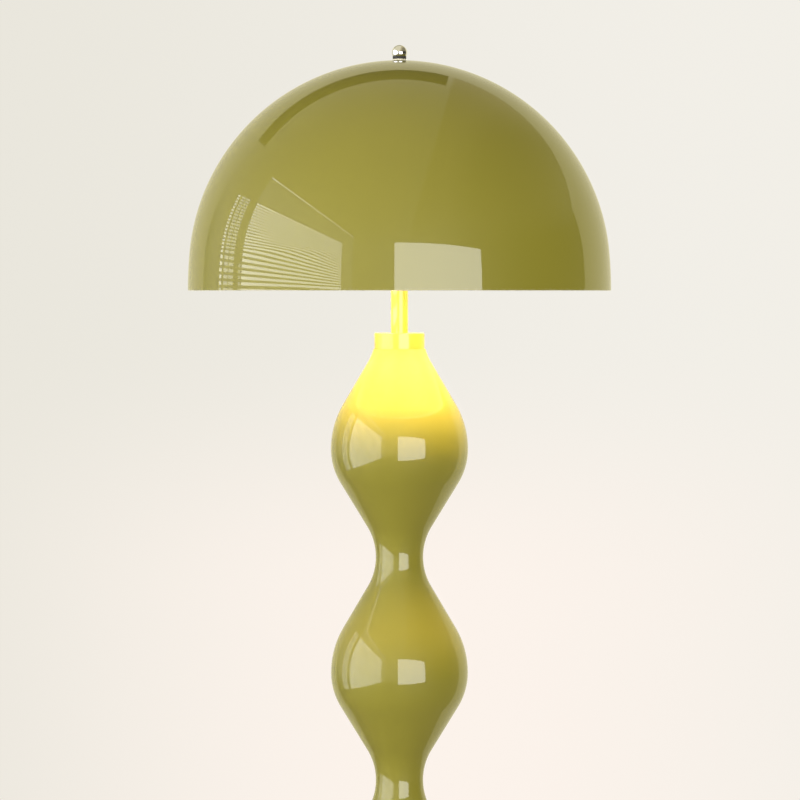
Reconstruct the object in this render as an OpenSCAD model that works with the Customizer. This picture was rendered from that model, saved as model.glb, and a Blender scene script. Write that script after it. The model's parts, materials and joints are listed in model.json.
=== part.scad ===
// Upright floor lamp: a half-round dome on a column of stacked teardrop segments.
// Millimetres, +Z up. The origin is the centre of the base, on the floor.

/* [Shade] */
// Outer diameter of the dome
shade_d = 400; // [380:1:420]
// Lean of the dome's side, in degrees, where the crown passes into the gentler arc above the rim
side_lean = 5.2; // [4:0.1:7]
// Thickness of the dome's sheet metal
shade_wall = 1.2; // [1:0.1:1.6]
// Length of stem in view between the collar and the rim of the shade
stem_gap = 40; // [35:1:50]

/* [Column] */
// Diameter at the widest part of each segment
bulge_d = 130; // [124:1:136]
// Diameter at each neck
neck_d = 45; // [42:1:46]
// Height from a lower neck up to the widest part
lower_h = 102.5; // [99:0.5:106]
// Height from the widest part up to the next neck
upper_h = 110; // [106:1:116]
// Wall of the segments and of the base shell
wall = 1.5; // [1.2:0.1:2]

/* [Collar and stem] */
// Outer diameter of the collar
collar_d = 47.5; // [45:0.5:48]
// Height of the collar
collar_h = 15; // [12:1:18]
// Outer diameter of the stem
stem_d = 16; // [14:0.5:18]

/* [Base] */
// Radius of the hollow sweep from the lowest neck out to the foot
flare_r = 112; // [100:1:120]
// Radius of the rolled outer edge of the base
edge_r = 16; // [14:1:18]

/* [Finial] */
// Diameter of the ball
ball_d = 14.5; // [13:0.5:16]
// Height of the ball's centre above the top of the dome
ball_rise = 7.5; // [7:0.25:9]

/* [Lamp cluster] */
// Distance from the middle of the stem to the middle of each bulb
arm_reach = 75; // [70:1:80]
// Diameter of each bulb
bulb_d = 60; // [55:1:60]

/* [Hidden] */
$fn = 96;
tiny = 0.01;
lacquer = [0.46, 0.43, 0.13];
enamel = [0.95, 0.94, 0.90];
steel = [0.62, 0.62, 0.62];
chrome = [0.85, 0.86, 0.87];
iron = [0.24, 0.24, 0.25];
rubber = [0.10, 0.10, 0.10];
brass = [0.78, 0.62, 0.30];
opal = [1.00, 0.93, 0.75];
porcelain = [0.90, 0.88, 0.84];
pvc = [0.80, 0.80, 0.78];

// Running clearance of a threaded or turned fit, on the radius
fit = 0.05;
// Free gap between a moving piece and its neighbour
gap = 0.3;

// Base
segments = 5;
foot_h = 4;
foot_r = 9;
foot_ring = 118;
plate_t = 2;
shell_z = foot_h + plate_t;
edge_z = shell_z + edge_r;
edge_top = shell_z + 2 * edge_r;
neck_r = neck_d / 2;
edge_c = neck_r + flare_r;
base_r = edge_c + edge_r;
base_h = edge_top + flare_r;
plate_r = edge_c + 2;
ballast_r = edge_c - 14;
ballast_h = 22;
slot_w = 20;
nut_pocket_r = 20;
nut_pocket_top = shell_z + 16;
screw_ring = 70;
screw_r = 2.5;
screw_head_r = 4.5;
screw_head_h = 2.4;
socket_r = 2;
socket_h = 1.4;
screw_len = 12;

// Column
bulge_r = bulge_d / 2;
pitch = lower_h + upper_h;
// Radii of the arcs at the neck, under the widest part and over it
neck_arc = 55;
lower_arc = 62;
upper_arc = 84;
column_top = base_h + segments * pitch;
collar_z = column_top - collar_h;
collar_r = collar_d / 2;
spigot_h = 10;
ring_h = 20;

// Tie pipe
pipe_r = 6;
pipe_bore = 4.5;
washer_t = 1.5;
pipe_washer_r = 14;
pipe_nut_r = 11;
nut_h = 6;
pipe_low = nut_pocket_top - washer_t - nut_h - 1;
pipe_split = base_h + 2 * pitch + lower_h;
pipe_high = column_top + 25;
coupler_r = 9;
coupler_h = 40;

// Shade
shade_r = shade_d / 2;
rim_z = column_top + stem_gap;
// The crown is part of a sphere; the arc between it and the rim has twice its radius
crown_r = shade_r / (2 - cos(side_lean));
side_arc = 2 * crown_r;
crown_z = crown_r * sin(side_lean);
dome_top = rim_z + crown_z + crown_r;
hem_t = 2.6;
hem_h = 6;

// Stem, hub and top rod
stem_r = stem_d / 2;
stem_low = collar_z - 2;
arm_z = rim_z + 163;
hub_r = 24;
hub_wall = 3;
hub_z = arm_z - 14;
hub_h = 26;
cap_t = 3;
stem_high = hub_z + hub_wall + 8;
stem_nut_r = 12.7;
stem_nut_h = 5;
rod_r = 5;
rod_low = hub_z + hub_h - 10;
rod_high = dome_top + 9.5;
nut_m10 = 9.2;
nut_m10_h = 5;
carrier_r = 16;
carrier_t = 2;
carrier_z = dome_top - shade_wall - 1 - carrier_t;

// Arms, lampholders and bulbs
arms = 3;
arm_r = 5;
arm_bore = 4;
arm_drop = 4;
elbow_r = 15;
holder_r = 20;
holder_wall = 2;
holder_h = 46;
holder_top = arm_z - elbow_r;
holder_low = holder_top - holder_h;
core_h = 36;
cap_r = 13;
cap_h = 25;
bulb_r = bulb_d / 2;
bulb_mid = holder_low - 46;
glass_t = 1;

// Washer and finial
washer_r = 6.5;
shade_washer_t = 1.5;
ball_r = ball_d / 2;
finial_neck_r = 6.4;

// Leads
lead_r = 1.8;
lead_z = shell_z + 3;
lead_bend = 6.5;
block_y = 50;
block_size = [16, 26, 14];
block_hole_r = 1.8;
block_holes = [[-4, 6], [-4, 20], [4, 6], [4, 20]];

// Cable gland
gland_r = 6;
gland_bore = 3.6;
gland_flange_r = 8.5;
gland_seat = base_r - 1;
gland_in = base_r - 14;
gland_out = base_r + 3;

// A straight tube standing on height z
module tube(r_out, r_in, z, h) {
    translate([0, 0, z])
        difference() {
            cylinder(r = r_out, h = h);
            translate([0, 0, -1]) cylinder(r = r_in, h = h + 2);
        }
}

// Six-sided nut standing on height z
module hex_nut(r, bore, z, h) {
    translate([0, 0, z])
        difference() {
            cylinder(r = r, h = h, $fn = 6);
            translate([0, 0, -1]) cylinder(r = bore, h = h + 2);
        }
}

// Half of a segment's outline, drawn in by w: neck at height 0, widest part at height h.
// A hollow arc at the neck and a round one at the belly meet on a straight flank.
module half_outline(h, belly_arc, w) {
    neck_c = [neck_r + neck_arc, 0];
    belly_c = [bulge_r - belly_arc, h];
    apart = neck_c - belly_c;
    lean = asin((neck_arc + belly_arc) / norm(apart)) - atan2(apart[0], h);
    flank_low = neck_c + (neck_arc + w) * [-cos(lean), sin(lean)];
    flank_high = belly_c + (belly_arc - w) * [cos(lean), -sin(lean)];
    intersection() {
        square([bulge_r, h]);
        union() {
            difference() {
                polygon([[0, 0], [neck_r - w, 0], flank_low, flank_high, [bulge_r - w, h], [0, h]]);
                translate(neck_c) circle(r = neck_arc + w);
            }
            translate(belly_c) circle(r = belly_arc - w);
        }
    }
}

module segment_outline(w) {
    half_outline(lower_h, lower_arc, w);
    translate([0, pitch]) mirror([0, 1]) half_outline(upper_h, upper_arc, w);
}

// The top segment is cut short by the height of the collar
module segment(i) {
    keep_h = i == segments ? pitch - collar_h : pitch;
    color(lacquer)
        translate([0, 0, base_h + (i - 1) * pitch])
            rotate_extrude()
                intersection() {
                    square([bulge_r, keep_h]);
                    difference() {
                        segment_outline(0);
                        segment_outline(wall);
                    }
                }
}

// Spacer that keeps two segments and the pipe on one axis at a neck
module centring_ring(i) {
    color(porcelain)
        tube(neck_r - wall - 0.2, pipe_r + fit, base_h + (i - 1) * pitch - ring_h / 2, ring_h);
}

// Outline of the base shell, drawn in by w, open underneath
module base_outline(w) {
    floor_z = w > 0 ? shell_z - 1 : shell_z;
    translate([0, floor_z]) square([edge_c, edge_top - w - floor_z]);
    translate([edge_c, edge_z]) circle(r = edge_r - w);
    difference() {
        translate([0, edge_top - w - tiny]) square([edge_c, flare_r + w + tiny]);
        translate([edge_c, base_h]) circle(r = flare_r + w);
    }
}

module base_shell() {
    color(lacquer)
        difference() {
            rotate_extrude()
                difference() {
                    base_outline(0);
                    base_outline(wall);
                }
            translate([0, gland_in, edge_z]) rotate([-90, 0, 0]) cylinder(r = gland_r, h = 2 * edge_r);
            translate([0, gland_seat, edge_z]) rotate([-90, 0, 0]) cylinder(r = gland_flange_r, h = edge_r);
        }
}

module cable_gland() {
    color(rubber)
        translate([0, 0, edge_z])
            rotate([-90, 0, 0])
                difference() {
                    union() {
                        translate([0, 0, gland_in]) cylinder(r = gland_r, h = gland_seat - gland_in);
                        translate([0, 0, gland_seat]) cylinder(r = gland_flange_r, h = gland_out - gland_seat);
                    }
                    translate([0, 0, gland_in - 1]) cylinder(r = gland_bore, h = gland_out - gland_in + 2);
                }
}

module foot_pad(i) {
    color(rubber)
        rotate([0, 0, 90 * i - 45])
            translate([foot_ring, 0, 0])
                cylinder(r = foot_r, h = foot_h);
}

// Repeats its children at the four screw places
module at_screws() {
    for (i = [0:3])
        rotate([0, 0, 90 * i + 45])
            translate([screw_ring, 0, 0])
                children();
}

module base_plate() {
    color(steel)
        difference() {
            translate([0, 0, foot_h]) cylinder(r = plate_r, h = plate_t);
            at_screws() translate([0, 0, foot_h - 1]) cylinder(r = screw_r + 0.25, h = plate_t + 2);
        }
}

module base_screws() {
    color(steel)
        at_screws() {
            translate([0, 0, foot_h - screw_head_h])
                difference() {
                    cylinder(r = screw_head_r, h = screw_head_h);
                    translate([0, 0, -1]) cylinder(r = socket_r, h = socket_h + 1, $fn = 6);
                }
            translate([0, 0, foot_h]) cylinder(r = screw_r, h = screw_len);
        }
}

module ballast() {
    color(iron)
        difference() {
            translate([0, 0, shell_z]) cylinder(r = ballast_r, h = ballast_h);
            translate([0, 0, shell_z - 1]) cylinder(r = pipe_r + fit, h = ballast_h + 2);
            translate([0, 0, shell_z - 1]) cylinder(r = nut_pocket_r, h = nut_pocket_top - shell_z + 1);
            translate([-slot_w / 2, nut_pocket_r - 4, shell_z - 1]) cube([slot_w, ballast_r, ballast_h + 2]);
            at_screws() translate([0, 0, shell_z - 1]) cylinder(r = screw_r + fit, h = screw_len + 1);
        }
}

module terminal_block() {
    color(porcelain)
        difference() {
            translate([-block_size[0] / 2, block_y, shell_z]) cube(block_size);
            for (hole = block_holes)
                translate([hole[0], block_y + hole[1], shell_z + block_size[2] - 5])
                    cylinder(r = block_hole_r, h = 6);
        }
}

module pipe_washer() {
    color(steel) tube(pipe_washer_r, pipe_r + fit, nut_pocket_top - washer_t, washer_t);
}

module pipe_nut() {
    color(steel) hex_nut(pipe_nut_r, pipe_r + fit, nut_pocket_top - washer_t - nut_h, nut_h);
}

module pipe_lower() {
    color(steel) tube(pipe_r, pipe_bore, pipe_low, pipe_split - pipe_low);
}

module pipe_upper() {
    color(steel) tube(pipe_r, pipe_bore, pipe_split, pipe_high - pipe_split);
}

module pipe_coupler() {
    color(steel) tube(coupler_r, pipe_r + fit, pipe_split - coupler_h / 2, coupler_h);
}

// Turned ring with a spigot in the top segment; it screws on the pipe and takes the stem
module collar() {
    edge = 0.8;
    spigot_r = neck_r - wall + 1.5;
    color(lacquer)
        difference() {
            rotate_extrude()
                polygon([
                    [pipe_r + fit, collar_z - spigot_h],
                    [spigot_r, collar_z - spigot_h],
                    [spigot_r, collar_z],
                    [collar_r, collar_z],
                    [collar_r, column_top - edge],
                    [collar_r - edge, column_top],
                    [pipe_r + fit, column_top],
                ]);
            translate([0, 0, stem_low]) cylinder(r = stem_r + fit, h = collar_h + 10);
        }
}

module stem() {
    color(lacquer) tube(stem_r, pipe_r + fit, stem_low, stem_high - stem_low);
}

module stem_nut() {
    color(steel) hex_nut(stem_nut_r, stem_r + fit, hub_z + hub_wall, stem_nut_h);
}

// Repeats its children at each arm
module at_arm(i) {
    rotate([0, 0, 90 + 120 * (i - 1)]) children();
}

module hub_body() {
    color(enamel)
        difference() {
            translate([0, 0, hub_z]) cylinder(r = hub_r, h = hub_h);
            translate([0, 0, hub_z + hub_wall]) cylinder(r = hub_r - hub_wall, h = hub_h);
            translate([0, 0, hub_z - 1]) cylinder(r = stem_r + fit, h = hub_wall + 2);
            for (i = [1:arms])
                at_arm(i) translate([0, 0, arm_z]) rotate([0, 90, 0]) cylinder(r = arm_r + fit, h = hub_r + 1);
        }
}

module hub_cap() {
    color(enamel) tube(hub_r, rod_r + fit, hub_z + hub_h, cap_t);
}

// A round tube or wire that runs out at arm height, turns down and drops into the lampholder.
// An inner radius of 0 makes it solid.
module bent_run(r_out, r_in, start, drop) {
    straight = arm_reach - elbow_r - start;
    translate([start, 0, arm_z])
        rotate([0, 90, 0])
            linear_extrude(straight) annulus(r_out, r_in);
    translate([arm_reach - elbow_r, 0, arm_z - elbow_r])
        rotate([90, 0, 0])
            rotate_extrude(angle = 90)
                translate([elbow_r, 0]) annulus(r_out, r_in);
    translate([arm_reach, 0, holder_top - drop])
        linear_extrude(drop) annulus(r_out, r_in);
}

module annulus(r_out, r_in) {
    difference() {
        circle(r = r_out);
        if (r_in > 0) circle(r = r_in);
    }
}

module arm(i) {
    color(enamel) at_arm(i) bent_run(arm_r, arm_bore, hub_r - hub_wall, arm_drop);
}

module holder_lead(i) {
    color(pvc) at_arm(i) bent_run(lead_r, 0, hub_r / 2, arm_drop + 4);
}

module holder_shell(i) {
    color(porcelain)
        at_arm(i)
            translate([arm_reach, 0, 0])
                difference() {
                    translate([0, 0, holder_low]) cylinder(r = holder_r, h = holder_h);
                    translate([0, 0, holder_low - 1])
                        cylinder(r = holder_r - holder_wall, h = holder_h - holder_wall + 1);
                    translate([0, 0, holder_low]) cylinder(r = arm_r + fit, h = holder_h + 1);
                }
}

// Insulating core with the screw socket; its floor is the upper end
module holder_core(i) {
    core_low = holder_low + 2;
    color(porcelain)
        at_arm(i)
            translate([arm_reach, 0, 0])
                difference() {
                    translate([0, 0, core_low]) cylinder(r = holder_r - holder_wall - fit, h = core_h);
                    translate([0, 0, core_low - 1]) cylinder(r = cap_r + gap, h = core_h - 5);
                }
}

// Screw cap of the bulb, with its insulator and centre contact
module bulb_cap(i) {
    color(brass)
        at_arm(i)
            translate([arm_reach, 0, 0])
                rotate_extrude()
                    polygon([
                        [cap_r - 1, holder_low + 1],
                        [cap_r, holder_low + 1],
                        [cap_r, holder_low + cap_h - 5],
                        [5, holder_low + cap_h],
                        [3, holder_low + cap_h + 2],
                        [0, holder_low + cap_h + 2],
                        [0, holder_low + cap_h - 2],
                        [cap_r - 1, holder_low + cap_h - 7],
                    ]);
}

// Outline of the bulb's glass, drawn in by w: a ball with a straight-sided neck
module bulb_outline(w) {
    neck = cap_r - w;
    top = holder_low + 1;
    side = 55;
    ball = bulb_r - w;
    intersection() {
        translate([0, bulb_mid - bulb_r]) square([bulb_r, top - bulb_mid + bulb_r]);
        union() {
            translate([0, bulb_mid]) circle(r = ball);
            polygon([[0, bulb_mid], [ball * sin(side), bulb_mid + ball * cos(side)], [neck, top], [0, top]]);
        }
    }
}

module bulb_glass(i) {
    color(opal)
        at_arm(i)
            translate([arm_reach, 0, 0])
                rotate_extrude()
                    difference() {
                        bulb_outline(0);
                        bulb_outline(glass_t);
                    }
}

module top_rod() {
    color(steel) translate([0, 0, rod_low]) cylinder(r = rod_r, h = rod_high - rod_low);
}

// One nut under the hub cap and one under the carrier
module m10_nuts() {
    color(steel) {
        hex_nut(nut_m10, rod_r + fit, hub_z + hub_h - nut_m10_h, nut_m10_h);
        hex_nut(nut_m10, rod_r + fit, carrier_z - nut_m10_h, nut_m10_h);
    }
}

module shade_carrier() {
    color(steel) tube(carrier_r, rod_r + fit, carrier_z, carrier_t);
}

// Outline of the dome above its rim, drawn in by w
module dome_outline(w) {
    split_z = (side_arc - w) * sin(side_lean);
    intersection() {
        translate([shade_r - side_arc, 0]) circle(r = side_arc - w);
        square([shade_r, split_z]);
    }
    intersection() {
        translate([0, crown_z]) circle(r = crown_r - w);
        translate([0, split_z]) square([shade_r, shade_r]);
    }
}

module shade() {
    color(lacquer)
        difference() {
            translate([0, 0, rim_z])
                rotate_extrude() {
                    difference() {
                        dome_outline(0);
                        dome_outline(shade_wall);
                    }
                    translate([shade_r - hem_t, 0]) square([hem_t - shade_wall / 2, hem_h]);
                }
            translate([0, 0, dome_top - shade_wall - 2]) cylinder(r = rod_r + gap, h = shade_wall + 4);
        }
}

module shade_washer() {
    color(enamel) tube(washer_r, rod_r + gap, dome_top, shade_washer_t);
}

// Ball on a short neck, bored from below for the top rod
module finial() {
    low = dome_top + shade_washer_t;
    color(chrome)
        difference() {
            union() {
                translate([0, 0, low]) cylinder(r = finial_neck_r, h = ball_rise - shade_washer_t);
                translate([0, 0, dome_top + ball_rise]) sphere(r = ball_r);
            }
            translate([0, 0, low - 5]) cylinder(r = rod_r + fit, h = rod_high + 0.3 - low + 5);
            translate([0, 0, low - 5]) cylinder(r = ball_r + 1, h = 5);
        }
}

// Wire bundle from the terminal block along the slot in the ballast, then up the pipe to the hub
module inner_lead() {
    lead_high = hub_z + hub_wall + 10;
    color(pvc) {
        translate([0, lead_bend, lead_z])
            rotate([-90, 0, 0]) cylinder(r = lead_r, h = block_y - lead_bend);
        translate([0, lead_bend, lead_z + lead_bend])
            rotate([-90, 0, -90])
                rotate_extrude(angle = 90) translate([lead_bend, 0]) circle(r = lead_r);
        translate([0, 0, lead_z + lead_bend]) cylinder(r = lead_r, h = lead_high - lead_z - lead_bend);
    }
}

foot_pad(1);  // foot_pad_1
foot_pad(2);  // foot_pad_2
foot_pad(3);  // foot_pad_3
foot_pad(4);  // foot_pad_4
base_plate();
base_screws();
ballast();
base_shell();
cable_gland();
terminal_block();
pipe_washer();
pipe_nut();
pipe_lower();
pipe_coupler();
pipe_upper();
centring_ring(1);  // centring_ring_1
centring_ring(2);  // centring_ring_2
centring_ring(3);  // centring_ring_3
centring_ring(4);  // centring_ring_4
centring_ring(5);  // centring_ring_5
segment(1);  // segment_1
segment(2);  // segment_2
segment(3);  // segment_3
segment(4);  // segment_4
segment(5);  // segment_5
collar();
stem();
stem_nut();
hub_body();
hub_cap();
arm(1);  // arm_1
arm(2);  // arm_2
arm(3);  // arm_3
holder_shell(1);  // holder_shell_1
holder_shell(2);  // holder_shell_2
holder_shell(3);  // holder_shell_3
holder_core(1);  // holder_core_1
holder_core(2);  // holder_core_2
holder_core(3);  // holder_core_3
holder_lead(1);  // holder_lead_1
holder_lead(2);  // holder_lead_2
holder_lead(3);  // holder_lead_3
bulb_cap(1);  // bulb_cap_1
bulb_cap(2);  // bulb_cap_2
bulb_cap(3);  // bulb_cap_3
bulb_glass(1);  // bulb_glass_1
bulb_glass(2);  // bulb_glass_2
bulb_glass(3);  // bulb_glass_3
top_rod();
m10_nuts();
shade_carrier();
shade();
shade_washer();
finial();
inner_lead();
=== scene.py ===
"""Looks of an upright floor lamp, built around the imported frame.

A half-round shade sits on a column of teardrop segments. Sizes are in metres.
"""

import json
import math

import bmesh
import bpy
from mathutils import Matrix, Vector

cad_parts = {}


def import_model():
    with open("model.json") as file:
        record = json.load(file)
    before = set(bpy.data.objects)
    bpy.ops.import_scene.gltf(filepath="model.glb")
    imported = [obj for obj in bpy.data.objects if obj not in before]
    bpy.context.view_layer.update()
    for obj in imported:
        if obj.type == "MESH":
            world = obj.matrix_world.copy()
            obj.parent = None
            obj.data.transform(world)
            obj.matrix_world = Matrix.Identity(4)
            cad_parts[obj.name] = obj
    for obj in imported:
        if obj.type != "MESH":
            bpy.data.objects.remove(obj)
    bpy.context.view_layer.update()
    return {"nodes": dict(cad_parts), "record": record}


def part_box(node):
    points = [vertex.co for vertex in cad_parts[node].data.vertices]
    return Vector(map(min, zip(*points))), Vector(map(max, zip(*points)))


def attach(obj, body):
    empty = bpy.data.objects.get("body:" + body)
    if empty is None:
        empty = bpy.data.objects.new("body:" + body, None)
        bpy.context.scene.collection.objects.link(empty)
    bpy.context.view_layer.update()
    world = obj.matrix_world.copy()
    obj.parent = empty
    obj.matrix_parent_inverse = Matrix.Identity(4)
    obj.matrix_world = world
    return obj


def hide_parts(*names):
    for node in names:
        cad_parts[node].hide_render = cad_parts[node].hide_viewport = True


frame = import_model()

# Driving sizes of the turned outlines, in metres, as the part's own source has them
NECK_R = 0.0225
NECK_ARC = 0.055
LOWER_ARC = 0.062
UPPER_ARC = 0.084
LOWER_H = 0.1025
EDGE_R = 0.016
WALL = 0.0015
SHADE_WALL = 0.0012
SIDE_LEAN = math.radians(5.2)
SEGMENTS = 5
ARMS = 3
FOOT_PADS = 4

# Inner radius of the collar's bore, and radius of the hole that takes the cable gland
PIPE_BORE_R = 0.0062
GLAND_HOLE_R = 0.0062

# Steps round a turned piece
FINE = 192
MEDIUM = 128
SMALL = 96
COARSE = 64

# Edges steeper than this many degrees stay sharp
SHARP = 30

# Brightness of the bulbs, and of what stands around the lamp
BULB_GLOW = 12.0
BLINDS_GLOW = 6.8
SLAT_GLOW = 0.8
WINDOW_GLOW = 6.4
SURROUND_GLOW = 1.0
RAIL_GLOW = 5.0
LAMP_WATTS = 4.3
FILL_WATTS = 60.0
DAYLIGHT = (1.0, 1.0, 0.98)

# Distance from one slat of the blinds to the next
SLAT_PITCH = 0.052

# Height of the shade's rim
RIM_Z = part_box("shade")[0].z


def low(node):
    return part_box(node)[0]


def high(node):
    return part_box(node)[1]


# ---------------------------------------------------------------- outlines and turned pieces


def arc(centre, radius, start, end, steps=24):
    """Points (radius, height) along an arc; angles in degrees, 0 pointing outward and 90 up."""
    points = []
    for i in range(steps + 1):
        a = math.radians(start + (end - start) * i / steps)
        points.append((centre[0] + radius * math.cos(a), centre[1] + radius * math.sin(a)))
    return points


def lathe(name, outline, steps=FINE, centre=(0.0, 0.0)):
    """A closed turned mesh.

    The outline's (radius, height) points make a loop, or start and end on the axis.
    """
    bm = bmesh.new()
    rings = []
    for radius, height in outline:
        if radius < 1e-6:
            rings.append([bm.verts.new((centre[0], centre[1], height))])
            continue
        ring = []
        for i in range(steps):
            a = 2 * math.pi * i / steps
            x = centre[0] + radius * math.cos(a)
            y = centre[1] + radius * math.sin(a)
            ring.append(bm.verts.new((x, y, height)))
        rings.append(ring)
    for ring, after in zip(rings, rings[1:] + rings[:1]):
        if len(ring) == 1 and len(after) == 1:
            continue
        for i in range(steps):
            j = (i + 1) % steps
            corners = [ring[i % len(ring)], ring[j % len(ring)]]
            corners += [after[j % len(after)], after[i % len(after)]]
            bm.faces.new(list(dict.fromkeys(corners)))
    return to_object(name, bm)


def to_object(name, bm):
    """Turns a bmesh into an object, smooth except at its sharp edges."""
    bmesh.ops.recalc_face_normals(bm, faces=bm.faces)
    for face in bm.faces:
        face.smooth = True
    for edge in bm.edges:
        edge.smooth = edge.calc_face_angle(0) < math.radians(SHARP)
    mesh = bpy.data.meshes.new(name)
    bm.to_mesh(mesh)
    bm.free()
    obj = bpy.data.objects.new(name, mesh)
    bpy.context.scene.collection.objects.link(obj)
    return obj


def chamfered(inner, outer, bottom, top, edge):
    """Outline of a plain ring with its four edges broken."""
    return [
        (inner + edge, bottom),
        (outer - edge, bottom),
        (outer, bottom + edge),
        (outer, top - edge),
        (outer - edge, top),
        (inner + edge, top),
        (inner, top - edge),
        (inner, bottom + edge),
    ]


def half_outline(h, belly_r, belly_arc, inset, cut=0.0):
    """Half of a segment's outline, neck at height 0 and widest part at h, drawn in by inset."""
    neck = Vector((NECK_R + NECK_ARC, 0))
    belly = Vector((belly_r - belly_arc, h))
    apart = neck - belly
    lean = math.degrees(math.asin((NECK_ARC + belly_arc) / apart.length) - math.atan2(apart.x, h))
    start = math.degrees(math.asin(cut / (NECK_ARC + inset)))
    hollow = arc(neck, NECK_ARC + inset, 180 - start, 180 - lean, 28)
    round_part = arc(belly, belly_arc - inset, -lean, 0, 36)
    return hollow + round_part


def column_outline(z, pitch, belly_r, inset, cut):
    """One side of a segment from its lower neck to its upper neck, which may be cut short."""
    lower = half_outline(LOWER_H, belly_r, LOWER_ARC, inset)
    upper = half_outline(pitch - LOWER_H, belly_r, UPPER_ARC, inset, cut)
    points = [(r, z + h) for r, h in lower]
    points += [(r, z + pitch - h) for r, h in reversed(upper[:-1])]
    return points


# ---------------------------------------------------------------- materials


def node(tree, kind, inputs=None, **settings):
    """Adds a shader node. An input given as a socket is linked, any other value is set."""
    new = tree.nodes.new(kind)
    for key, value in settings.items():
        setattr(new, key, value)
    for key, value in (inputs or {}).items():
        if isinstance(value, bpy.types.NodeSocket):
            tree.links.new(value, new.inputs[key])
        else:
            new.inputs[key].default_value = value
    return new


def math_node(tree, operation, *values):
    return node(tree, "ShaderNodeMath", dict(enumerate(values)), operation=operation).outputs[0]


def smooth_step(tree, value, start, end):
    """0 up to start, 1 from end on, smooth between."""
    new = node(
        tree,
        "ShaderNodeMapRange",
        {"Value": value, "From Min": start, "From Max": end},
        interpolation_type="SMOOTHSTEP",
    )
    return new.outputs["Result"]


def mix(tree, factor, first, second):
    new = node(tree, "ShaderNodeMix", data_type="RGBA")
    for socket, value in zip((new.inputs[0], new.inputs[6], new.inputs[7]), (factor, first, second)):
        if isinstance(value, bpy.types.NodeSocket):
            tree.links.new(value, socket)
        elif socket == new.inputs[0]:
            socket.default_value = value
        else:
            socket.default_value = (*value, 1)
    return new.outputs[2]


def material(name, colour, spread, roughness, scale, bump, metallic=0.0, **constants):
    """A finish with slow colour drift, uneven roughness and a fine surface relief.

    spread is how far the colour drifts, scale the size of the relief per metre, bump its depth in metres.
    """
    made = bpy.data.materials.new(name)
    made.use_nodes = True
    tree = made.node_tree
    shader = tree.nodes["Principled BSDF"]
    place = node(tree, "ShaderNodeTexCoord").outputs["Object"]
    slow = node(tree, "ShaderNodeTexNoise", {"Vector": place, "Scale": 9.0, "Detail": 3.0})
    drift = slow.outputs["Fac"]
    darker = [c * (1 - spread) for c in colour]
    lighter = [c * (1 + spread) for c in colour]
    tree.links.new(mix(tree, drift, darker, lighter), shader.inputs["Base Color"])
    fine = node(tree, "ShaderNodeTexNoise", {"Vector": place, "Scale": scale, "Detail": 4.0})
    relief = fine.outputs["Fac"]
    rough = node(
        tree,
        "ShaderNodeMapRange",
        {"Value": relief, "To Min": roughness * 0.8, "To Max": roughness * 1.2},
    )
    tree.links.new(rough.outputs["Result"], shader.inputs["Roughness"])
    raised = node(tree, "ShaderNodeBump", {"Height": relief, "Distance": bump, "Strength": 1.0})
    tree.links.new(raised.outputs["Normal"], shader.inputs["Normal"])
    shader.inputs["Metallic"].default_value = metallic
    for key, value in constants.items():
        shader.inputs[key.replace("_", " ")].default_value = value
    return made


def lacquer():
    """Olive paint under a clear gloss coat with the faintest orange peel."""
    made = material("olive_lacquer", (0.200, 0.178, 0.0215), 0.03, 0.5, 900.0, 0.000002)
    shader = made.node_tree.nodes["Principled BSDF"]
    shader.inputs["Specular IOR Level"].default_value = 0.15
    shader.inputs["Coat Weight"].default_value = 1.0
    shader.inputs["Coat Roughness"].default_value = 0.004
    shader.inputs["Coat IOR"].default_value = 1.5
    peel = node(made.node_tree, "ShaderNodeTexNoise", {"Scale": 160.0, "Detail": 1.0})
    place = made.node_tree.nodes["Texture Coordinate"].outputs["Object"]
    made.node_tree.links.new(place, peel.inputs["Vector"])
    peel_depth = {"Height": peel.outputs["Fac"], "Distance": 0.0000015}
    ripple = node(made.node_tree, "ShaderNodeBump", peel_depth)
    made.node_tree.links.new(ripple.outputs["Normal"], shader.inputs["Coat Normal"])
    return made


def opal():
    """Lit opal glass, a little brighter in the middle of the ball than at its neck."""
    made = material("lit_opal_glass", (0.95, 0.90, 0.78), 0.01, 0.2, 300.0, 0.000005)
    tree = made.node_tree
    shader = tree.nodes["Principled BSDF"]
    place = tree.nodes["Texture Coordinate"].outputs["Object"]
    height = node(tree, "ShaderNodeSeparateXYZ", {0: place})
    neck_z = high("bulb_glass_1").z
    glow = smooth_step(tree, height.outputs["Z"], neck_z, neck_z - 0.03)
    tree.links.new(mix(tree, glow, (1.0, 0.62, 0.34), (1.0, 0.78, 0.52)), shader.inputs["Emission Color"])
    shader.inputs["Emission Strength"].default_value = BULB_GLOW
    return made


LOOKS = {
    "lacquer": lacquer(),
    "enamel": material("white_enamel", (0.80, 0.78, 0.72), 0.02, 0.28, 500.0, 0.00001),
    "chrome": material("chrome", (0.90, 0.90, 0.91), 0.02, 0.05, 1200.0, 0.0000004, metallic=1.0),
    "washer_plastic": material("cream_plastic", (0.80, 0.74, 0.58), 0.03, 0.4, 900.0, 0.00001),
    "steel": material("zinc_steel", (0.56, 0.55, 0.53), 0.06, 0.32, 700.0, 0.00002, metallic=1.0),
    "cast_iron": material("primed_iron", (0.06, 0.06, 0.065), 0.2, 0.7, 260.0, 0.0002),
    "rubber": material("black_rubber", (0.03, 0.03, 0.03), 0.15, 0.75, 800.0, 0.00004),
    "moulded_plastic": material("white_plastic", (0.78, 0.76, 0.70), 0.02, 0.38, 900.0, 0.00001),
    "lead_insulation": material("grey_sleeve", (0.70, 0.70, 0.68), 0.03, 0.45, 900.0, 0.00002),
    "cap_metal": material("brass_cap", (0.75, 0.62, 0.35), 0.06, 0.25, 900.0, 0.00001, metallic=1.0),
    "opal_glass": opal(),
}


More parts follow.
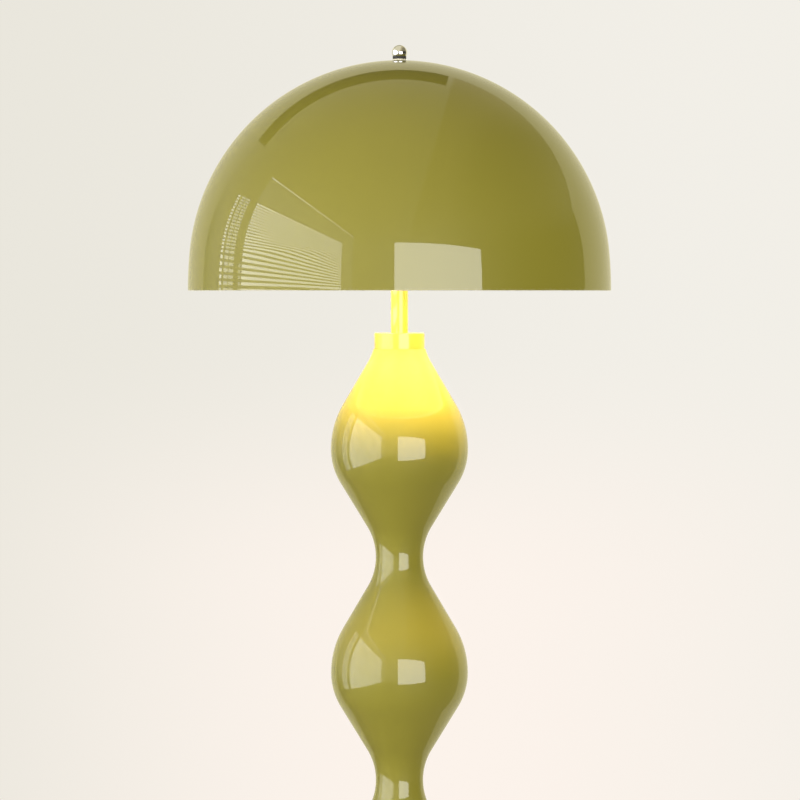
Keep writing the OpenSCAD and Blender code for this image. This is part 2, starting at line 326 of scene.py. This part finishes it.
def dress(piece, slot, body, *replaced):
    """Gives a piece its finish and the body it rides on, and hides the CAD nodes that it stands for."""
    piece.data.materials.append(LOOKS[slot])
    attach(piece, body)
    if replaced:
        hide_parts(*replaced)


def dress_cad_nodes():
    for part in frame["record"]["subparts"]:
        mesh = frame["nodes"][part["node"]].data
        mesh.materials.clear()
        mesh.materials.append(LOOKS[part["material_slot"]])


# ---------------------------------------------------------------- pieces


def base_shell():
    """Flared foot with a rolled edge and a hole for the cable gland."""
    edge_c = high("base_shell").x - EDGE_R
    bottom = low("base_shell").z
    top = high("base_shell").z
    flare_r = edge_c - NECK_R
    edge_z = bottom + EDGE_R
    outside = arc((edge_c, edge_z), EDGE_R, -90, 90, 32)
    outside += arc((edge_c, top), flare_r, -90, -180, 64)[1:]
    inside = arc((edge_c, edge_z), EDGE_R - WALL, -90, 90, 32)
    inside += arc((edge_c, top), flare_r + WALL, -90, -180, 64)[1:]
    shell = lathe("base_shell_skin", outside + inside[::-1])
    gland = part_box("cable_gland")
    length = gland[1].y - gland[0].y
    rod = [(0, -length), (GLAND_HOLE_R, -length), (GLAND_HOLE_R, length), (0, length)]
    cutter = lathe("gland_cutter", rod, COARSE)
    lie = Matrix.Rotation(math.pi / 2, 4, "X")
    cutter.matrix_world = Matrix.Translation((0, gland[1].y, edge_z)) @ lie
    cut = shell.modifiers.new("gland_hole", "BOOLEAN")
    cut.object = cutter
    cut.solver = "EXACT"
    bpy.context.view_layer.update()
    cut_shell = shell.evaluated_get(bpy.context.evaluated_depsgraph_get())
    mesh = bpy.data.meshes.new_from_object(cut_shell)
    shell.modifiers.clear()
    shell.data = mesh
    bpy.data.objects.remove(cutter)
    dress(shell, "lacquer", "stand", "base_shell")


def segments():
    pitch = low("segment_2").z - low("segment_1").z
    belly_r = high("segment_1").x
    for i in range(1, SEGMENTS + 1):
        name = f"segment_{i}"
        z = low(name).z
        cut = z + pitch - high(name).z
        outside = column_outline(z, pitch, belly_r, 0, cut)
        inside = column_outline(z, pitch, belly_r, WALL, cut)
        skin = lathe(f"{name}_skin", outside + inside[::-1])
        dress(skin, "lacquer", "stand", name)


def collar():
    """Turned ring with a broken top edge, recessed for the stem, on a spigot inside the top segment."""
    bottom, top = low("collar").z, high("collar").z
    outer = high("collar").x
    seam = high("segment_5").z
    spigot_r = NECK_R - WALL + 0.0015
    stem_r = high("stem").x
    edge = 0.0008
    outline = [
        (PIPE_BORE_R, bottom),
        (spigot_r, bottom),
        (spigot_r, seam),
        (outer - 0.0002, seam),
        (outer, seam + 0.0002),
    ]
    outline += arc((outer - edge, top - edge), edge, 0, 90, 6)
    outline += [
        (stem_r + 0.0004, top),
        (stem_r + 0.0001, top - 0.0003),
        (stem_r + 0.0001, low("stem").z - 0.0001),
        (PIPE_BORE_R, low("stem").z - 0.0001),
    ]
    dress(lathe("collar_ring", outline), "lacquer", "stand", "collar")


def stem():
    outline = chamfered(high("pipe_upper").x, high("stem").x, low("stem").z, high("stem").z, 0.0002)
    dress(lathe("stem_tube", outline), "lacquer", "stand", "stem")


def dome_outline(inset):
    """The dome from its rim up to the axis: a gentle arc, then a crown of half its radius."""
    rim = low("shade").z
    shade_r = high("shade").x
    crown_r = shade_r / (2 - math.cos(SIDE_LEAN))
    lean = math.degrees(SIDE_LEAN)
    side = arc((shade_r - 2 * crown_r, rim), 2 * crown_r - inset, 0, lean, 12)
    crown = arc((0, rim + crown_r * math.sin(SIDE_LEAN)), crown_r - inset, lean, 90, 110)
    return side + crown[1:]


def shade():
    """Lacquered skin outside and white enamel inside, with a rolled hem round the rim."""
    rim = low("shade").z
    hole = high("top_rod").x + 0.0003
    hem_r = 0.0013
    middle = SHADE_WALL / 2

    def up_to_hole(inset):
        points = [p for p in dome_outline(inset) if p[0] > hole + 0.002]
        return points + [(hole, points[-1][1] + 0.00005)]

    outside = up_to_hole(0)
    middle_out = up_to_hole(middle - 0.00002)
    middle_in = up_to_hole(middle + 0.00002)
    inside = up_to_hole(SHADE_WALL)
    lip = rim + 0.0003
    skin_outside = [(p[0], max(p[1], lip)) for p in outside]
    skin_inside = [(p[0], max(p[1], lip)) for p in middle_out]
    skin = lathe("shade_skin", skin_outside + skin_inside[::-1])
    dress(skin, "lacquer", "shade", "shade")

    hem_c = (high("shade").x - hem_r, rim + hem_r)
    hem = arc(hem_c, hem_r, 180, 360, 12)
    hem += [(hem_c[0] + hem_r - middle, rim + hem_r + 0.0002)]
    lining = hem + [p for p in middle_in if p[1] > rim + 0.002]
    lining += [p for p in inside if p[1] > rim + 0.0062][::-1]
    lining += arc((hem_c[0], rim + 0.0052), hem_r, 60, 180, 8)
    dress(lathe("shade_lining", lining), "enamel", "shade")


def finial():
    """Polished ball on a dark seat; the CAD has both as one solid, and the seat is a guess."""
    bore = high("top_rod").x + 0.0001
    ball_r = high("finial").x
    ball_z = high("finial").z - ball_r
    rod_end = high("top_rod").z + 0.0003
    ball = arc((0, ball_z), ball_r, -28, 90, 48)
    seat_r, seat_z = ball[0]
    outline = [(bore, seat_z)] + ball[:-1]
    outline += [(0, ball_z + ball_r), (0, rod_end), (bore, rod_end)]
    dress(lathe("finial_ball", outline, SMALL), "chrome", "finial", "finial")
    seat = chamfered(bore, seat_r, low("finial").z, seat_z, 0.0002)
    dress(lathe("finial_seat", seat, SMALL), "rubber", "finial")


def shade_washer():
    """Pale washer between the finial and the dome."""
    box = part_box("shade_washer")
    outline = chamfered(high("top_rod").x + 0.0003, box[1].x, box[0].z, box[1].z, 0.0003)
    dress(lathe("washer_ring", outline, SMALL), "washer_plastic", "shade", "shade_washer")


def around(box):
    """Middle of a box, seen from above."""
    return ((box[0].x + box[1].x) / 2, (box[0].y + box[1].y) / 2)


def bulbs():
    """Round opal bulbs: a ball that runs tangent into its neck, closed round the screw cap."""
    for i in range(1, ARMS + 1):
        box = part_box(f"bulb_glass_{i}")
        ball_r = (box[1].x - box[0].x) / 2
        ball_z = box[0].z + ball_r
        neck_r = (high(f"bulb_cap_{i}").x - low(f"bulb_cap_{i}").x) / 2
        thick = 0.001
        outside = arc((0, ball_z), ball_r, -90, 35, 40)
        inside = arc((0, ball_z), ball_r - thick, -90, 35, 40)
        outside += arc((neck_r + 0.012, box[1].z), 0.012, 215, 180, 8)
        inside += arc((neck_r + 0.012, box[1].z), 0.012 + thick, 215, 180, 8)
        glass = lathe(f"bulb_globe_{i}", outside + inside[::-1], COARSE, around(box))
        dress(glass, "opal_glass", f"bulb_{i}", f"bulb_glass_{i}")


def lampholders():
    """Moulded lampholder shells with grip rings and rounded shoulders."""
    for i in range(1, ARMS + 1):
        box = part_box(f"holder_shell_{i}")
        outer = (box[1].x - box[0].x) / 2
        bottom, top = box[0].z, box[1].z
        wall = 0.002
        hole = 0.0051
        outline = [(outer - wall, bottom), (outer - 0.0005, bottom), (outer, bottom + 0.0005)]
        rings = 7
        for k in range(rings):
            z = bottom + 0.006 + k * 0.0034
            groove_r = outer - 0.0007
            outline += [(outer, z), (groove_r, z + 0.0006)]
            outline += [(groove_r, z + 0.0012), (outer, z + 0.0018)]
        outline += arc((outer - 0.005, top - 0.005), 0.005, 0, 90, 10)
        outline += [(hole, top), (hole, top - wall), (outer - wall - 0.003, top - wall)]
        outline += [(outer - wall, top - wall - 0.003)]
        holder = lathe(f"holder_body_{i}", outline, COARSE, around(box))
        dress(holder, "moulded_plastic", "stand", f"holder_shell_{i}")


def hub():
    """Cup that gathers the arms, and its lid, both with rounded edges."""
    outer = high("hub_body").x
    bottom, top = low("hub_body").z, high("hub_body").z
    wall = 0.003
    stem_r = high("stem").x + 0.0001
    cup = [(stem_r, bottom)] + arc((outer - 0.004, bottom + 0.004), 0.004, -90, 0, 10)
    cup += [(outer, top - 0.0003), (outer - 0.0003, top), (outer - wall, top)]
    cup += [(outer - wall, bottom + wall), (stem_r, bottom + wall)]
    dress(lathe("hub_cup", cup, MEDIUM), "enamel", "stand", "hub_body")
    rod_r = high("top_rod").x + 0.0001
    lid_top = high("hub_cap").z
    lid = [(rod_r, top), (outer - 0.0003, top), (outer, top + 0.0003)]
    lid += arc((outer - 0.002, lid_top - 0.002), 0.002, 0, 90, 8) + [(rod_r, lid_top)]
    dress(lathe("hub_lid", lid, MEDIUM), "enamel", "stand", "hub_cap")


def foot_pads():
    """Rubber feet with a rounded tread and a shallow suction ring."""
    for i in range(1, FOOT_PADS + 1):
        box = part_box(f"foot_pad_{i}")
        outer = (box[1].x - box[0].x) / 2
        top = box[1].z
        outline = [(0, top), (outer - 0.0003, top), (outer, top - 0.0003)]
        outline += arc((outer - 0.001, 0.001), 0.001, 0, -90, 6)
        outline += [(outer * 0.6, 0), (outer * 0.56, 0.0005), (outer * 0.4, 0.0005)]
        outline += [(outer * 0.36, 0), (0, 0)]
        foot = lathe(f"foot_{i}", outline, COARSE, around(box))
        dress(foot, "rubber", "stand", f"foot_pad_{i}")


def cable_gland():
    """Rubber grommet in the rear of the base: a rounded flange and a bore for the cord."""
    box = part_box("cable_gland")
    flange_r = (box[1].x - box[0].x) / 2
    length = box[1].y - box[0].y
    bore = 0.0036
    seat = 0.004
    outline = [(bore, -length), (0.0054, -length), (0.006, -length + 0.0006)]
    outline += [(0.006, -seat), (flange_r, -seat)]
    outline += arc((flange_r - 0.0018, -0.0018), 0.0018, 0, 90, 8)
    outline += [(0.0056, 0), (0.0050, -0.0006), (bore + 0.0008, -0.0006)]
    outline += [(bore, -0.0012)]
    gland = lathe("gland_grommet", outline, COARSE)
    place = Matrix.Translation((0, box[1].y, (box[0].z + box[1].z) / 2))
    gland.data.transform(place @ Matrix.Rotation(-math.pi / 2, 4, "X"))
    dress(gland, "rubber", "stand", "cable_gland")


# ---------------------------------------------------------------- stage, light and camera


def emitter(name):
    made = bpy.data.materials.new(name)
    made.use_nodes = True
    made.node_tree.nodes.remove(made.node_tree.nodes["Principled BSDF"])
    return made


def card(name, corners, look, lights=True):
    """A flat stage card that shows only in reflections, and lights the lamp if it is a window."""
    mesh = bpy.data.meshes.new(name)
    mesh.from_pydata(corners, [], [(0, 1, 2, 3)])
    mesh.materials.append(look)
    obj = bpy.data.objects.new(name, mesh)
    bpy.context.scene.collection.objects.link(obj)
    obj.visible_camera = False
    obj.visible_shadow = False
    obj.visible_diffuse = lights


def glow_look(name, strength):
    """A plain light. The strength is a number, or a function that builds it in the tree."""
    made = emitter(name)
    tree = made.node_tree
    value = strength(tree) if callable(strength) else strength
    light = node(tree, "ShaderNodeEmission", {"Color": (*DAYLIGHT, 1), "Strength": value})
    tree.links.new(light.outputs[0], tree.nodes["Material Output"].inputs["Surface"])
    return made


def slats(glow):
    """Strength of daylight that falls between the slats of open blinds."""

    def build(tree):
        place = node(tree, "ShaderNodeTexCoord").outputs["Object"]
        height = node(tree, "ShaderNodeSeparateXYZ", {0: place}).outputs["Z"]
        wave = math_node(tree, "SINE", math_node(tree, "MULTIPLY", height, 2 * math.pi / SLAT_PITCH))
        open_part = smooth_step(tree, wave, -0.6, 0.3)
        return math_node(tree, "MULTIPLY_ADD", open_part, glow - SLAT_GLOW, SLAT_GLOW)

    return build


def windows():
    """Blinds on the left wall with their surround, and a plain window behind the camera."""
    side_x = -2.5

    def on_side(name, y0, y1, z0, z1, look, lights=True, x=side_x):
        card(name, [(x, y0, z0), (x, y1, z0), (x, y1, z1), (x, y0, z1)], look, lights)

    top = RIM_Z + 1.24
    blinds = glow_look("blinds_light", slats(BLINDS_GLOW))
    dim_blinds = glow_look("dim_blinds_light", slats(0.5 * BLINDS_GLOW))
    on_side("side_window", -4.23, 0.04, 0, top, blinds)
    on_side("side_pane_slim", 0.09, 0.15, 0, RIM_Z + 0.25, dim_blinds, False)
    on_side("side_pane_mid", 0.34, 0.53, 0, top, dim_blinds, False)
    on_side("side_pane_next", 0.56, 0.74, 0, top, dim_blinds, False)
    far_blinds = glow_look("far_blinds_light", slats(0.7 * BLINDS_GLOW))
    on_side("side_pane_far", 0.82, 0.94, 0, top, far_blinds, False)
    rail = RIM_Z + 1.86
    behind = side_x - 0.02
    surround = glow_look("surround_light", SURROUND_GLOW)
    on_side("side_surround", -5.45, 0.08, 0, rail, surround, False, behind)
    rail_look = glow_look("rail_light", RAIL_GLOW)
    on_side("side_rail", -5.45, 0.08, rail, rail + 0.03, rail_look, False, behind)
    y = -3.5
    x0, x1 = -0.16, 3.35
    top = RIM_Z + 0.93
    corners = [(x0, y, 0), (x1, y, 0), (x1, y, top), (x0, y, top)]
    card("front_window", corners, glow_look("front_window_light", WINDOW_GLOW))


def lamp_light():
    """The light that the bulbs throw down the column: a ring of small lamps just under them."""
    ring_r = 0.087
    lamps = 8
    shift = 0.015
    z = low("bulb_glass_1").z - 0.002
    for i in range(lamps):
        light = bpy.data.lights.new(f"lamp_light_{i + 1}", "AREA")
        light.shape = "DISK"
        light.size = 0.06
        light.color = (1.0, 0.74, 0.45)
        light.energy = LAMP_WATTS / lamps
        obj = bpy.data.objects.new(light.name, light)
        bpy.context.scene.collection.objects.link(obj)
        a = 2 * math.pi * i / lamps
        obj.location = (shift + ring_r * math.cos(a), -shift + ring_r * math.sin(a), z)
        obj.visible_camera = False
        obj.visible_glossy = False


def fill_light():
    """Large soft light from the right and behind, kept out of the gloss."""
    light = bpy.data.lights.new("fill_light", "AREA")
    light.size = 2.0
    light.energy = FILL_WATTS
    obj = bpy.data.objects.new("fill_light", light)
    bpy.context.scene.collection.objects.link(obj)
    obj.location = (2.4, 1.6, RIM_Z + 0.2)
    obj.rotation_euler = Vector((2.4, 1.6, 0.2)).to_track_quat("Z", "Y").to_euler()
    obj.visible_camera = False
    obj.visible_glossy = False


def world():
    """The surroundings, as seen by light and gloss and as seen by the camera.

    Light and gloss see a room: a level band that is dim to the back and dark to the right,
    a ceiling that is dimmer to the right, a black recess in it, a pale wall behind the lamp
    and a dim floor.
    Its borders and colours were fitted to what the dome reflects in the photo.
    The camera sees a plain pale backdrop, warmer and brighter low behind the column, where a pool of the
    lamp's light is painted on it.
    """
    made = bpy.data.worlds.new("studio")
    bpy.context.scene.world = made
    made.use_nodes = True
    tree = made.node_tree
    direction = node(tree, "ShaderNodeTexCoord").outputs["Generated"]
    x, y, z = node(tree, "ShaderNodeSeparateXYZ", {0: direction}).outputs

    def beyond(value, slope, other):
        """1 where value is over slope times other, 0 where it is under."""
        difference = math_node(tree, "MULTIPLY_ADD", other, -slope, value)
        return smooth_step(tree, difference, -0.01, 0.01)

    across = smooth_step(tree, x, -0.16, 0.10)
    backdrop = mix(tree, across, (0.815, 0.79, 0.715), (0.885, 0.86, 0.80))
    # Painted pool of the lamp's warm light on the backdrop, low and close behind the column
    beside = math_node(tree, "ABSOLUTE", math_node(tree, "SUBTRACT", x, 0.01))
    near = smooth_step(tree, beside, 0.18, 0.0)
    under = smooth_step(tree, z, -0.01, -0.09)
    painted_lamp_pool = math_node(tree, "MULTIPLY", near, under)
    backdrop = mix(tree, painted_lamp_pool, backdrop, (0.975, 0.895, 0.83))

    left = mix(tree, smooth_step(tree, y, 0.45, 0.7), (0.70, 0.68, 0.58), (0.29, 0.32, 0.22))
    level = mix(tree, smooth_step(tree, x, -0.1, 0.7), left, (0.04, 0.04, 0.03))
    dim = mix(tree, smooth_step(tree, x, 0.35, 0.65), (0.52, 0.45, 0.27), (0.26, 0.23, 0.14))
    ceiling = mix(tree, beyond(x, 0.28, z), (0.73, 0.68, 0.47), dim)
    room = mix(tree, smooth_step(tree, z, 0.15, 0.45), level, ceiling)
    room = mix(tree, smooth_step(tree, z, -0.02, -0.25), room, (0.17, 0.15, 0.12))
    recess = math_node(tree, "MULTIPLY", beyond(x, -1.07, z), beyond(z, 4.0, x))
    recess = math_node(tree, "MULTIPLY", recess, beyond(y, 0.76, z))
    room = mix(tree, recess, room, (0.0, 0.0, 0.0))
    turned = math_node(tree, "MULTIPLY_ADD", x, -0.1, y)
    wall = math_node(tree, "MULTIPLY", beyond(x, -1.08, y), beyond(y, 1 / 1.77, x))
    wall = math_node(tree, "MULTIPLY", wall, beyond(turned, 1.25, z))
    room = mix(tree, wall, room, (0.82, 0.77, 0.52))

    seen = node(tree, "ShaderNodeLightPath").outputs["Is Camera Ray"]
    colour = mix(tree, seen, room, backdrop)
    tree.links.new(colour, tree.nodes["Background"].inputs["Color"])


def floor():
    """Large pale floor that fades out at its rim."""
    bm = bmesh.new()
    radius = 1.7
    bmesh.ops.create_circle(bm, cap_ends=True, radius=radius, segments=96)
    disc = to_object("floor_disc", bm)
    made = material("pale_floor", (0.52, 0.50, 0.465), 0.015, 0.55, 40.0, 0.0003)
    tree = made.node_tree
    place = tree.nodes["Texture Coordinate"].outputs["Object"]
    far = node(tree, "ShaderNodeVectorMath", {0: place}, operation="LENGTH").outputs["Value"]
    solid = smooth_step(tree, far, 0.95 * radius, 0.5 * radius)
    tree.links.new(solid, tree.nodes["Principled BSDF"].inputs["Alpha"])
    disc.data.materials.append(made)
    disc.visible_glossy = False


def camera():
    """Eye level with the shade's rim, square on, looking a little down."""
    eye = bpy.data.cameras.new("camera")
    eye.lens = 152.0
    eye.sensor_width = 36.0
    eye.clip_end = 100.0
    obj = bpy.data.objects.new("camera", eye)
    bpy.context.scene.collection.objects.link(obj)
    obj.location = (0.0005, -3.2, RIM_Z)
    obj.rotation_euler = (math.radians(90 - 1.854), 0, 0)
    bpy.context.scene.camera = obj


camera()
bpy.context.scene.view_settings.view_transform = "Standard"
dress_cad_nodes()
base_shell()
segments()
collar()
stem()
shade()
finial()
shade_washer()
bulbs()
lampholders()
hub()
foot_pads()
cable_gland()
world()
windows()
lamp_light()
fill_light()
floor()
